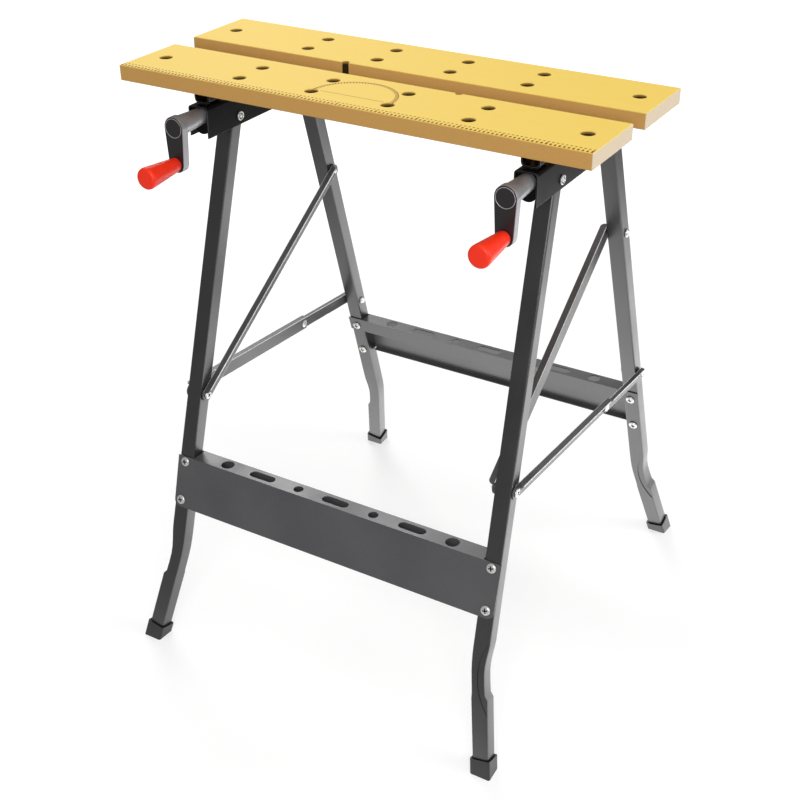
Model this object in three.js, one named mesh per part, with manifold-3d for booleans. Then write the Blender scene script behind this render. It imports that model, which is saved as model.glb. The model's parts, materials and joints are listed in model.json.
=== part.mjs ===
// Folding workbench: two jaw boards on channel brackets, crank-driven lead screws, folding leg frames.
// Millimetres, +Z up, +X to the user's right, -Y towards the user.
import * as THREE from 'three';
import { mergeVertices } from 'three/addons/utils/BufferGeometryUtils.js';
import Module from 'manifold-3d';

const wasm = await Module();
wasm.setup();

// Worktop
const workHeight = 772.5;
const boardLength = 605;
const boardWidth = 103;
const boardThickness = 18.5;
const boardEase = 0.8;
const jawGap = 37;
const jawClosedGap = 0.5;
const jawMaxGap = 100;
const dogHoleRadius = 7.6;
const dogPairInset = 154;
const dogPairSpread = 45;
const dogEndInset = 28.5;
const pipeGrooveRadius = 4.6;
const pipeGrooveDepth = 6;
const frontGrooveX = 98;
const rearGrooveX = -76;

// Brackets and what sits on them
const bracketInset = 86.5;
const frontPivotY = -27;
const rearPivotY = 135;
const bracketHeight = 38;
const bracketDrop = 45.5;
const bracketFrontY = -90;
const bracketTail = 16;
const bracketWall = 1.8;
const bracketBend = 4;
const pivotAboveEdge = 11;
const spacerWidth = 22.8;
const spacerDepth = 22;
const spacerWall = 2;
const spacerBend = 6;
const spacerSetback = 10;
const midSpacerGap = 6.5;
const saddleLength = 60;
const saddleLead = 14;

// Lead screws and cranks
const screwAboveEdge = 25;
const screwRadius = 6;
const screwEndY = 122;
const screwTip = 1.5;
const shoulderRadius = 9.5;
const shoulderLength = 6;
const plateThickness = 3;
const plateRecess = 6;
const plateRise = 2;
const nutY = 38;
const nutLength = 20;
const nutHeight = 19;
const neckWidth = 10;
const neckLength = 14;
const studRadius = 3.7;
const studRise = 4;
const hubRearRadius = 10;
const hubFrontRadius = 12;
const hubLength = 41.5;
const hubSocket = 30;
const armHeadRadius = 13.5;
const armTailRadius = 11;
const armReach = 44;
const armThickness = 11;
const armEase = 1.2;
const headRingRadius = 11.8;
const headRingWidth = 0.7;
const headRingDepth = 0.5;
const gripLength = 57;
const gripRootRadius = 8.5;
const gripEndRadius = 13.2;
const gripRim = 3;
const gripPinRadius = 3;
const gripPinLength = 48;
const gripPinSeat = 8;

// Leg frames
const tubeWidth = 22;
const tubeDepth = 20;
const tubeWall = 1.5;
const tubeCorner = 2.2;
const legSplay = THREE.MathUtils.degToRad(1.5);
const legBend = THREE.MathUtils.degToRad(8.9);
const frontLean = THREE.MathUtils.degToRad(15.5);
const rearLean = THREE.MathUtils.degToRad(18.5);
const bendHeight = 135;
const bendSpan = 50;
const crimpSpan = 74;
const crimpAbove = 0.42;
const crimpDepth = 4;
const crimpSteps = [
  [0, 0], [0.14, 0.18], [0.28, 0.52], [0.42, 0.84], [0.56, 1], [0.75, 1], [0.93, 0.9], [1, 0],
];
const pinchDepth = 0.9;
const pinchReach = 8.5;
const earOpen = 13;
const legEndHeight = 10;
const footWall = 2.2;
const footHeight = 11;
const footSeat = 2.8;
const footCorner = 2.5;

// Tool rails
const railSheet = 1.2;
const railHeight = 72;
const railLip = 17;
const railReturn = 8;
const railCorner = 9;
const railBehind = 2.5;
const frontRailDrop = 452;
const rearRailDrop = 438;
const railHoleInset = 48;
const railBigHoleRadius = 8.8;
const railSmallHoleRadius = 6.5;
const railSlotLength = 38;
const railSlotRadius = 6.3;
const railScrewInset = [7, 61.5];

// Stays: their ends along the legs, above the rails or below the pivot
const stayAboveRail = 89;
const upperStayDrop = 148;
const lowerStayAboveRail = 40;
const knuckleShare = 0.68;
const staySheet = 1.8;
const stayHeight = 18;
const stayFlange = 9;
const stayFlangePast = 2;
const stayFlangeCorner = 6.5;
const stayStandoff = 1.7;
const stayBossRadius = 8;
const flangePastKnuckle = 8;

// Fasteners
const pivotBoltRadius = 4;
const stayBoltRadius = 3;
const railScrewRadius = 2.7;
const pivotHeadRadius = 5.8;
const boltHeadRadius = 5.6;
const boltHeadHeight = 3.2;
const screwHeadRadius = 6.3;
const screwHeadHeight = 2.6;
const rivetHeadHeight = 2.4;
const knuckleBackHead = 0.9;
const headShoulder = 0.45;
const headCrown = 0.62;

// Clearances
const seat = 0.3;
const running = 0.3;
const legPlay = 1.2;

// Facets round a circle
const holeFacets = 20;
const boltFacets = 12;
const turnedFacets = 28;
const pinchFacets = 48;

// Derived levels and places
const pivotX = boardLength / 2 - bracketInset;
const dogEndX = boardLength / 2 - dogEndInset;
const dogPairPitch = (boardLength / 2 - dogPairInset) / 1.5;
const dogPairX = [dogPairPitch / 2, 1.5 * dogPairPitch];
const railPitch = (pivotX - railHoleInset) / 3;
const stayDrop = frontRailDrop - stayAboveRail;
const lowerStayDrop = rearRailDrop - lowerStayAboveRail;
const boardBottom = workHeight - boardThickness;
const bracketTop = workHeight - bracketDrop;
const bracketBottom = bracketTop - bracketHeight;
const pivotZ = bracketBottom + pivotAboveEdge;
const screwZ = bracketBottom + screwAboveEdge;
const bracketInner = tubeWidth / 2 + legPlay;
const bracketOuter = bracketInner + bracketWall;
const bracketRearY = rearPivotY + bracketTail;
const plateFrontY = bracketFrontY + plateRecess;
const armRearY = plateFrontY - seat - hubLength;
const armFrontY = armRearY - armThickness;
const jawOpenTravel = jawMaxGap - jawGap;
const jawCloseTravel = jawGap - jawClosedGap;
const halfTube = tubeWidth / 2;
const halfDepth = tubeDepth / 2;
const tallRange = 2 * workHeight;

// Finishes
const boardFinish = { color: 0xe8c25a, roughness: 0.6, metalness: 0 };
const coatFinish = { color: 0x3d3b3c, roughness: 0.55, metalness: 0.2 };
const blackFinish = { color: 0x1c1c1d, roughness: 0.5, metalness: 0.2 };
const castFinish = { color: 0x55565a, roughness: 0.35, metalness: 0.8 };
const zincFinish = { color: 0xc9cbcd, roughness: 0.3, metalness: 0.9 };
const gripFinish = { color: 0xe0301e, roughness: 0.3, metalness: 0 };
const rubberFinish = { color: 0x161616, roughness: 0.8, metalness: 0 };

const bench = new THREE.Group();
bench.name = 'folding_workbench';

// Solids from geometry and back
function solid(geometry) {
  const bare = new THREE.BufferGeometry();
  bare.setAttribute('position', geometry.getAttribute('position'));
  if (geometry.index) bare.setIndex(geometry.index);
  const merged = mergeVertices(bare, 1e-4);
  const corners = merged.index.array;
  const kept = [];
  for (let i = 0; i < corners.length; i += 3) {
    const [a, b, c] = [corners[i], corners[i + 1], corners[i + 2]];
    if (a !== b && b !== c && c !== a) kept.push(a, b, c);
  }
  return new wasm.Manifold(new wasm.Mesh({
    numProp: 3,
    vertProperties: new Float32Array(merged.getAttribute('position').array),
    triVerts: new Uint32Array(kept),
  }));
}

function surface(body) {
  const mesh = body.getMesh();
  const geometry = new THREE.BufferGeometry();
  geometry.setAttribute('position', new THREE.BufferAttribute(new Float32Array(mesh.vertProperties), 3));
  geometry.setIndex(new THREE.BufferAttribute(new Uint32Array(mesh.triVerts), 1));
  geometry.computeVertexNormals();
  return geometry;
}

function add(name, body, finish, parent = bench) {
  const mesh = new THREE.Mesh(surface(body), new THREE.MeshStandardMaterial(finish));
  mesh.name = name;
  parent.add(mesh);
}

// A block between two corners
function block(x0, x1, y0, y1, z0, z1) {
  const geometry = new THREE.BoxGeometry(Math.abs(x1 - x0), Math.abs(y1 - y0), Math.abs(z1 - z0));
  return solid(geometry.translate((x0 + x1) / 2, (y0 + y1) / 2, (z0 + z1) / 2));
}

// Prisms: a shape in two axes, pushed along the third between two stations
const axisBasis = {
  x: new THREE.Matrix4().makeBasis(...[[0, 1, 0], [0, 0, 1], [1, 0, 0]].map(v => new THREE.Vector3(...v))),
  y: new THREE.Matrix4().makeBasis(...[[1, 0, 0], [0, 0, 1], [0, -1, 0]].map(v => new THREE.Vector3(...v))),
  z: new THREE.Matrix4(),
};

function prism(axis, shape, from, to, ease = 0, easeSteps = 1, curveSegments = 6) {
  const low = Math.min(from, to);
  const high = Math.max(from, to);
  const geometry = new THREE.ExtrudeGeometry(shape, {
    depth: high - low - 2 * ease, steps: 1, curveSegments,
    bevelEnabled: ease > 0, bevelThickness: ease, bevelSize: ease, bevelOffset: -ease,
    bevelSegments: easeSteps,
  });
  geometry.applyMatrix4(axisBasis[axis]);
  const offset = { x: [low + ease, 0, 0], y: [0, high - ease, 0], z: [0, 0, low + ease] }[axis];
  return solid(geometry.translate(...offset));
}

function polygon(points) {
  return new THREE.Shape(points.map(([a, b]) => new THREE.Vector2(a, b)));
}

function ringPoints(a, b, radius, count, start = 0, sweep = 2 * Math.PI) {
  const last = sweep === 2 * Math.PI ? count : count - 1;
  return Array.from({ length: count }, (_, i) => {
    const angle = start + sweep * i / last;
    return [a + radius * Math.cos(angle), b + radius * Math.sin(angle)];
  });
}

function rod(axis, radius, from, to, a, b, facets = holeFacets) {
  return prism(axis, polygon(ringPoints(a, b, radius, facets)), from, to);
}

// A strip with two round ends, the first centred on (a, b) and the second `reach` further along
function stadium(a, b, reach, firstRadius, secondRadius, facets) {
  const tilt = Math.asin((firstRadius - secondRadius) / reach);
  const half = Math.PI / 2 - tilt;
  return polygon([
    ...ringPoints(a + reach, b, secondRadius, facets, -half, 2 * half),
    ...ringPoints(a, b, firstRadius, facets, half, 2 * (Math.PI - half)),
  ]);
}

// A body turned about an axis: points are radius and station along the axis
function turned(axis, points, a, b, facets = turnedFacets) {
  const geometry = new THREE.LatheGeometry(points.map(([r, s]) => new THREE.Vector2(r, s)), facets);
  const turn = { x: [0, 0, -Math.PI / 2], y: [0, 0, 0], z: [Math.PI / 2, 0, 0] }[axis];
  geometry.rotateX(turn[0]).rotateZ(turn[2]);
  return solid(geometry.translate(...{ x: [0, a, b], y: [a, 0, b], z: [a, b, 0] }[axis]));
}

// A bolt or rivet: stations are the faces under its domed heads, and a head of no height leaves a plain end
function headed(axis, radius, headRadius, from, to, lowHead, highHead, a, b) {
  const head = (station, height) => (height === 0 ? [[0, station]] : [
    [headRadius, station],
    [headRadius, station + height * headShoulder],
    [headRadius * headCrown, station + height],
    [0, station + height],
  ]);
  const low = head(from, -lowHead).reverse();
  const high = head(to, highHead);
  return turned(axis, [...low, [radius, from], [radius, to], ...high], a, b, boltFacets);
}

// Boards
function jawBoard(name, jawY, away, grooveX) {
  const outerY = jawY + away * boardWidth;
  const midY = (jawY + outerY) / 2;
  const shape = polygon([
    [-boardLength / 2, Math.min(jawY, outerY)], [boardLength / 2, Math.min(jawY, outerY)],
    [boardLength / 2, Math.max(jawY, outerY)], [-boardLength / 2, Math.max(jawY, outerY)],
  ]);
  const holes = [-1, 1].flatMap(side => [
    [side * dogEndX, midY],
    ...dogPairX.flatMap(x => [-1, 1].map(row => [side * x, midY + row * dogPairSpread / 2])),
  ]);
  for (const [x, y] of holes) shape.holes.push(polygon(ringPoints(x, y, dogHoleRadius, holeFacets)));
  const groove = stadium(0, 0, 2 * pipeGrooveDepth, pipeGrooveRadius, pipeGrooveRadius, 8);
  const grooveCut = prism('z', groove, boardBottom - 1, workHeight + 1)
    .rotate([0, 0, -90 * away]).translate([grooveX, jawY + away * (pipeGrooveDepth - pipeGrooveRadius), 0]);
  add(name, prism('z', shape, boardBottom, workHeight, boardEase).subtract(grooveCut), boardFinish);
}
jawBoard('front_jaw_board', -jawGap / 2, -1, frontGrooveX);
jawBoard('rear_jaw_board', jawGap / 2, 1, rearGrooveX);

// A folded strap with the section of a U, open upwards, standing on the bracket
function strap(x, y0, y1) {
  const half = spacerWidth / 2;
  const low = bracketTop + seat;
  const high = boardBottom - seat;
  const bend = (radius, halfWidth, floor) => [
    [-halfWidth, high + (radius < spacerBend ? 1 : 0)],
    ...ringPoints(-halfWidth + radius, floor + radius, radius, 5, Math.PI, Math.PI / 2),
    ...ringPoints(halfWidth - radius, floor + radius, radius, 5, -Math.PI / 2, Math.PI / 2),
    [halfWidth, high + (radius < spacerBend ? 1 : 0)],
  ].map(([a, b]) => [x + a, b]);
  const inside = polygon(bend(spacerBend - spacerWall, half - spacerWall, low + spacerWall));
  return prism('y', polygon(bend(spacerBend, half, low)), y0, y1)
    .subtract(prism('y', inside, y0 - 1, y1 + 1));
}

// Brackets, screws, cranks and the saddles of the rear board
for (const [name, side] of [['left', -1], ['right', 1]]) {
  const x = side * pivotX;

  const channel = (half, top, bend, bottom) => polygon([
    [x - half, bottom],
    [x + half, bottom],
    ...ringPoints(x + half - bend, top - bend, bend, 5, 0, Math.PI / 2),
    ...ringPoints(x - half + bend, top - bend, bend, 5, Math.PI / 2, Math.PI / 2),
  ]);
  const slotStart = nutY - neckLength / 2 - jawCloseTravel - 1;
  const slotEnd = nutY + neckLength / 2 + jawOpenTravel + 1;
  const bracketSkin = channel(bracketOuter, bracketTop, bracketBend, bracketBottom);
  const bracketVoid = channel(bracketInner, bracketTop - bracketWall, bracketBend - bracketWall,
    bracketBottom - 1);
  const pivotHole = y => rod('x', pivotBoltRadius + running, x - tubeWidth, x + tubeWidth, y, pivotZ);
  const bracket = prism('y', bracketSkin, bracketFrontY, bracketRearY)
    .subtract(prism('y', bracketVoid, bracketFrontY - 1, bracketRearY + 1))
    .subtract(block(x - neckWidth / 2 - running, x + neckWidth / 2 + running, slotStart, slotEnd,
      bracketTop - 2 * bracketWall, bracketTop + 1))
    .subtract(pivotHole(frontPivotY)).subtract(pivotHole(rearPivotY));
  add(`${name}_bracket`, bracket, blackFinish);

  const spacerY = bracketFrontY + spacerSetback;
  const midSpacerY = -jawGap / 2 - midSpacerGap - spacerDepth;
  add(`${name}_front_spacer`, strap(x, spacerY, spacerY + spacerDepth), blackFinish);
  add(`${name}_mid_spacer`, strap(x, midSpacerY, midSpacerY + spacerDepth), blackFinish);
  const saddleY = nutY - saddleLead;
  const studHole = rod('z', studRadius + running, bracketTop, bracketTop + 2 * spacerBend, x, nutY);
  add(`${name}_slide_saddle`, strap(x, saddleY, saddleY + saddleLength).subtract(studHole), blackFinish);

  for (const [end, y] of [['front', frontPivotY], ['rear', rearPivotY]]) {
    const gripHalf = bracketOuter + seat;
    add(`${name}_${end}_pivot_bolt`, headed('x', pivotBoltRadius, pivotHeadRadius, x - gripHalf, x + gripHalf,
      boltHeadHeight, boltHeadHeight, y, pivotZ), zincFinish);
  }

  const plateRadius = bracketInner - seat;
  const plateTop = bracketTop - bracketWall - seat;
  const plateLow = bracketBottom + plateRise + plateRadius;
  const plateCorner = plateRadius - bracketBend;
  const plate = polygon([
    ...ringPoints(x + plateCorner, plateTop - bracketBend, bracketBend, 5, 0, Math.PI / 2),
    ...ringPoints(x - plateCorner, plateTop - bracketBend, bracketBend, 5, Math.PI / 2, Math.PI / 2),
    ...ringPoints(x, plateLow, plateRadius, 15, Math.PI, Math.PI),
  ]);
  const plateRearY = plateFrontY + plateThickness;
  const screwHole = (y0, y1) => rod('y', screwRadius + running, y0, y1, x, screwZ);
  add(`${name}_bearing_plate`, prism('y', plate, plateFrontY, plateRearY)
    .subtract(screwHole(plateFrontY - 1, plateRearY + 1)), blackFinish);

  const screwStart = plateFrontY - seat - hubSocket + 1;
  const shoulderY = plateRearY + seat;
  add(`${name}_lead_screw`, turned('y', [
    [0, screwStart], [screwRadius, screwStart], [screwRadius, shoulderY], [shoulderRadius, shoulderY],
    [shoulderRadius, shoulderY + shoulderLength], [screwRadius, shoulderY + shoulderLength],
    [screwRadius, screwEndY - screwTip], [screwRadius - screwTip, screwEndY], [0, screwEndY],
  ], x, screwZ, holeFacets), zincFinish);

  const nutTop = bracketTop - bracketWall - seat;
  const [nutFrontY, nutRearY] = [nutY - nutLength / 2, nutY + nutLength / 2];
  const nut = prism('y', channel(halfTube, nutTop, bracketBend, nutTop - nutHeight), nutFrontY, nutRearY)
    .add(block(x - neckWidth / 2, x + neckWidth / 2, nutY - neckLength / 2, nutY + neckLength / 2,
      nutTop - 1, bracketTop))
    .add(rod('z', studRadius, bracketTop - 1, bracketTop + seat + spacerWall + studRise, x, nutY))
    .subtract(screwHole(nutFrontY - 1, nutRearY + 1));
  add(`${name}_screw_nut`, nut, zincFinish);

  const armOutline = stadium(0, 0, armReach, armHeadRadius, armTailRadius, 12);
  const pinZ = screwZ - armReach;
  const disc = (radius, y0, y1) => rod('y', radius, y0, y1, x, screwZ, turnedFacets);
  const ring = disc(headRingRadius, armFrontY - 1, armFrontY + headRingDepth)
    .subtract(disc(headRingRadius - headRingWidth, armFrontY - 2, armFrontY + 1));
  const pinRod = (radius, y0, y1) => rod('y', radius, y0, y1, x, pinZ, boltFacets);
  const crank = prism('z', armOutline, 0, armThickness, armEase, 2)
    .rotate([0, 0, -90]).rotate([90, 0, 0]).translate([x, armRearY, screwZ])
    .add(turned('y', [[0, armRearY - 1], [hubFrontRadius, armRearY - 1], [hubFrontRadius, armRearY],
      [hubRearRadius, armRearY + hubLength], [0, armRearY + hubLength]], x, screwZ))
    .subtract(screwHole(armRearY + hubLength - hubSocket, armRearY + hubLength + 1))
    .subtract(pinRod(gripPinRadius + running, armFrontY - 1, armFrontY + gripPinSeat))
    .subtract(ring);
  add(`${name}_crank`, crank, castFinish);

  const pinTip = armFrontY - gripPinLength;
  add(`${name}_grip_pin`, pinRod(gripPinRadius, pinTip, armFrontY + gripPinSeat - seat), zincFinish);
  const gripRoot = armFrontY - seat;
  const gripEnd = gripRoot - gripLength;
  const rim = ringPoints(gripEndRadius - gripRim, gripEnd + gripRim, gripRim, 5, -Math.PI / 2, Math.PI / 2);
  add(`${name}_grip`, turned('y', [
    [0, gripEnd], ...rim, [gripRootRadius, gripRoot],
    [gripPinRadius + running, gripRoot], [gripPinRadius + running, pinTip - running], [0, pinTip - running],
  ], x, pinZ), gripFinish);
}

// Leg frames, each built hanging from its pivot line with its outer face towards -Y
function legX(drop) {
  return pivotX + drop * Math.tan(legSplay);
}

function legFrame(end, pivotY, lean, facing, railDrop, stayHoles) {
  const frame = new THREE.Group();
  frame.name = `${end}_frame`;
  frame.position.set(0, pivotY, pivotZ);
  frame.rotation.set(-lean, 0, facing, 'ZXY');
  frame.updateMatrix();
  bench.add(frame);

  const bendDrop = (pivotZ - bendHeight) / Math.cos(lean);
  const endDrop = (pivotZ - legEndHeight) / Math.cos(lean);
  const kick = Math.tan(legSplay + legBend) - Math.tan(legSplay);
  const axisX = drop => {
    const t = THREE.MathUtils.clamp((drop - bendDrop) / bendSpan + 0.5, 0, 1);
    const past = Math.max(0, drop - bendDrop - bendSpan / 2);
    return legX(drop) + kick * (bendSpan * (t ** 3 - t ** 4 / 2) + past);
  };
  const crimpDrop = bendDrop + crimpSpan * (0.5 - crimpAbove);
  const bendLine = crimpSteps.map(([share, dent]) =>
    [crimpDrop + crimpSpan * (share - 0.5), crimpDepth * dent]);
  const tubeOutline = (side, inset, top, bottom) => {
    const line = [[top, 0], ...bendLine, [bottom, 0]];
    const outer = line.map(([d, dent]) => [side * (axisX(d) + halfTube - inset - dent), -d]);
    const inner = line.map(([d]) => [side * (axisX(d) - halfTube + inset), -d]);
    return polygon([...outer, ...inner.reverse()]);
  };

  const railTop = -railDrop;
  const railBottom = railTop - railHeight;
  const webInner = -halfDepth - seat;
  const webOuter = webInner - railSheet;
  const lipInner = halfDepth + seat;
  const lipOuter = lipInner + railSheet;
  const screwDrops = railScrewInset.map(inset => railDrop + inset);
  const railScrewHole = (side, drop, y0, y1) => rod('y', railScrewRadius + running, y0, y1,
    side * legX(drop), -drop, boltFacets);

  for (const local of [-1, 1]) {
    const world = facing ? -local : local;
    const name = `${end}_${world < 0 ? 'left' : 'right'}`;
    const earShape = polygon([
      ...ringPoints(0, 0, halfDepth, 13, 0, Math.PI), [-halfDepth, -tallRange], [halfDepth, -tallRange],
    ]);
    const pinchRadius = ((crimpSpan / 2) ** 2 + pinchReach ** 2) / (2 * pinchReach);
    const pinchX = local * (axisX(crimpDrop) + halfTube - crimpDepth + pinchRadius - pinchReach);
    const pinch = (y0, y1) => rod('y', pinchRadius, y0, y1, pinchX, -crimpDrop, pinchFacets);
    const crossHole = (drop, radius) => rod('x', radius, local * (legX(drop) - tubeWidth),
      local * (legX(drop) + tubeWidth), 0, -drop, boltFacets);
    let leg = prism('y', tubeOutline(local, 0, -halfDepth, endDrop), -halfDepth, halfDepth, tubeCorner, 2)
      .intersect(prism('x', earShape, local * (pivotX - 2 * tubeWidth), local * (pivotX + 4 * tubeWidth)))
      .subtract(prism('y', tubeOutline(local, tubeWall, -2 * halfDepth, endDrop + 1),
        -halfDepth + tubeWall, halfDepth - tubeWall))
      .subtract(block(local * (pivotX - halfTube + tubeWall), local * (pivotX + halfTube - tubeWall),
        -tubeDepth, tubeDepth, -earOpen, tubeDepth))
      .subtract(crossHole(0, pivotBoltRadius + running))
      .subtract(pinch(-halfDepth - 1, -halfDepth + pinchDepth))
      .subtract(pinch(halfDepth - pinchDepth, halfDepth + 1));
    for (const drop of stayHoles) leg = leg.subtract(crossHole(drop, stayBoltRadius + running));
    for (const drop of screwDrops) leg = leg.subtract(railScrewHole(local, drop, -tubeDepth, tubeDepth));
    add(`${name}_leg`, leg, coatFinish, frame);

    screwDrops.forEach((drop, i) => {
      const far = i === 0 ? lipOuter : halfDepth;
      const screw = headed('y', railScrewRadius, screwHeadRadius, webOuter - seat, far + seat,
        screwHeadHeight, screwHeadHeight, local * legX(drop), -drop);
      add(`${name}_rail_screw_${['upper', 'lower'][i]}`, screw, zincFinish, frame);
    });

    const tilt = legSplay + legBend;
    const bootShape = (halfX, halfY, corner) => new THREE.Shape()
      .moveTo(-halfX + corner, -halfY).lineTo(halfX - corner, -halfY)
      .absarc(halfX - corner, -halfY + corner, corner, -Math.PI / 2, 0).lineTo(halfX, halfY - corner)
      .absarc(halfX - corner, halfY - corner, corner, 0, Math.PI / 2).lineTo(-halfX + corner, halfY)
      .absarc(-halfX + corner, halfY - corner, corner, Math.PI / 2, Math.PI).lineTo(-halfX, -halfY + corner)
      .absarc(-halfX + corner, -halfY + corner, corner, Math.PI, 1.5 * Math.PI);
    const toFloor = new THREE.Matrix4().makeRotationY(-local * tilt)
      .setPosition(local * axisX(endDrop), 0, -endDrop).premultiply(frame.matrix);
    const boot = (shape, low, high) => solid(new THREE.ExtrudeGeometry(shape, {
      depth: high - low, bevelEnabled: false, curveSegments: 3,
    }).translate(0, 0, low).applyMatrix4(toFloor));
    const [holeX, holeY] = [halfTube + running, halfDepth + running];
    const bootSkin = bootShape(holeX + footWall, holeY + footWall, footCorner);
    const footBody = boot(bootSkin, -2 * footHeight, footHeight - footSeat)
      .subtract(boot(bootShape(holeX, holeY, tubeCorner / 2), -footSeat, footHeight + 1))
      .intersect(block(-boardLength, boardLength, -tallRange, tallRange, 0, workHeight));
    add(`${name}_foot`, footBody, rubberFinish);
  }

  // The rail: a folded sheet with the legs let into its flange, which lies level on the leaning legs
  const railHalf = legX(railDrop + railHeight / 2) + halfTube + seat;
  const behindHalf = legX(railDrop) + halfTube - railBehind;
  const [webHalf, lipHalf] = facing ? [behindHalf, railHalf] : [railHalf, behindHalf];
  const flangeZ = y => railTop + (y - webOuter) * Math.tan(lean);
  const flangeLow = y => flangeZ(y) - railSheet / Math.cos(lean);
  const flangeTop = flangeZ(lipOuter) + 1;
  const section = polygon([
    [webOuter, railTop], [lipOuter, flangeZ(lipOuter)], [lipOuter, railTop - railLip],
    [lipInner, railTop - railLip], [lipInner, flangeLow(lipInner)], [webInner, flangeLow(webInner)],
    [webInner, railBottom + railSheet], [webOuter + railReturn, railBottom + railSheet],
    [webOuter + railReturn, railBottom], [webOuter, railBottom],
  ]);
  let rail = prism('x', section, -railHalf, railHalf);
  for (const side of [-1, 1]) {
    const clearOf = (start, y0, y1, z0, z1) => block(side * start, side * (railHalf + 1), y0, y1, z0, z1);
    const notchStart = legX(railDrop) - halfTube - legPlay;
    const returnEnd = legX(railDrop + railHeight) - halfTube - legPlay;
    rail = rail.subtract(clearOf(notchStart, webInner, lipInner, railTop - 2 * railSheet, flangeTop))
      .subtract(clearOf(returnEnd, webInner, lipOuter, railBottom - 1, railBottom + 2 * railSheet))
      .subtract(clearOf(webHalf, webOuter - 1, webInner, railBottom - 1, flangeTop))
      .subtract(clearOf(lipHalf, lipInner, lipOuter + 1, railTop - railLip - 1, flangeTop));
    const cornerX = webHalf - railCorner;
    const cornerZ = railBottom + railCorner;
    rail = rail.subtract(clearOf(cornerX, webOuter - 1, webInner + 1, railBottom - 1, cornerZ)
      .subtract(rod('y', railCorner, webOuter - 2, webInner + 2, side * cornerX, cornerZ, turnedFacets)));
    screwDrops.forEach((drop, i) => {
      rail = rail.subtract(railScrewHole(side, drop, webOuter - 1, (i === 0 ? lipOuter : webInner) + 1));
    });
  }
  const slotReach = railSlotLength - 2 * railSlotRadius;
  const slotShape = x => stadium(x - slotReach / 2, 0, slotReach, railSlotRadius, railSlotRadius, 8);
  const holeShape = (x, radius) => polygon(ringPoints(x, 0, radius, holeFacets));
  const flangeHoles = [
    ...[-2 * railPitch, 0, 2 * railPitch].map(slotShape),
    ...[-1, 1].flatMap(side => [
      holeShape(side * 3 * railPitch, railBigHoleRadius), holeShape(side * railPitch, railSmallHoleRadius),
    ]),
  ];
  for (const shape of flangeHoles) {
    rail = rail.subtract(prism('z', shape, -2 * railSheet, 1)
      .rotate([THREE.MathUtils.radToDeg(lean), 0, 0]).translate([0, 0, flangeZ(0)]));
  }
  add(`${end}_tool_rail`, rail, coatFinish, frame);
}
legFrame('front', frontPivotY, frontLean, 0, frontRailDrop, [stayDrop]);
legFrame('rear', rearPivotY, rearLean, Math.PI, rearRailDrop, [upperStayDrop, lowerStayDrop]);

// Stays
function onLeg(pivotY, lean, drop) {
  return new THREE.Vector2(pivotY + drop * Math.sin(lean), pivotZ - drop * Math.cos(lean));
}
const stayFoot = onLeg(frontPivotY, -frontLean, stayDrop);
const upperAnchor = onLeg(rearPivotY, rearLean, upperStayDrop);
const lowerAnchor = onLeg(rearPivotY, rearLean, lowerStayDrop);

function stayGroup(name, x, start, finish, skew) {
  const line = finish.clone().sub(start);
  const swing = new THREE.Group();
  swing.position.set(x, start.x, start.y);
  swing.rotation.set(line.angle(), 0, skew, 'XYZ');
  swing.name = name;
  bench.add(swing);
  return swing;
}

// An angle bar along local +Y: its web starts `near` out from the leg, its flange is on the upper edge
function angleBar(out, near, length, low, high, flange, endRadius) {
  const far = near + staySheet;
  const mid = (low + high) / 2;
  const web = polygon([
    [0, low], [length, low], ...ringPoints(length, mid, (high - low) / 2, 9, -Math.PI / 2, Math.PI),
    [length, high], [0, high], ...ringPoints(0, 0, endRadius, 11, Math.PI / 2, Math.PI),
  ].filter(([a, b], i, all) => i === 0 || Math.hypot(a - all[i - 1][0], b - all[i - 1][1]) > 1e-3));
  const { width, from, to } = flange;
  const corner = Math.min(stayFlangeCorner, width - staySheet);
  const flangeShape = polygon([
    [near, from], ...ringPoints(near + width - corner, from + corner, corner, 5, -Math.PI / 2, Math.PI / 2),
    ...ringPoints(near + width - corner, to - corner, corner, 5, 0, Math.PI / 2), [near, to],
  ].map(([x, y]) => [out * x, y]));
  return prism('x', web, out * near, out * far).add(prism('z', flangeShape, high - staySheet, high));
}

const halfStay = stayHeight / 2;
const webFar = seat + staySheet;
const knuckleY = lowerAnchor.distanceTo(stayFoot) * knuckleShare;
const rearLinkNear = webFar + seat;
const rearLinkHigh = halfStay - staySheet - seat;
const rearLinkLow = seat - halfStay;
const stayHole = (y, reach) => rod('x', stayBoltRadius + running, -reach, reach, y, 0, boltFacets);
const formedHead = (out, near, far, y) => rod('x', boltHeadRadius, out * near, out * far, y, 0, boltFacets);

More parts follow.
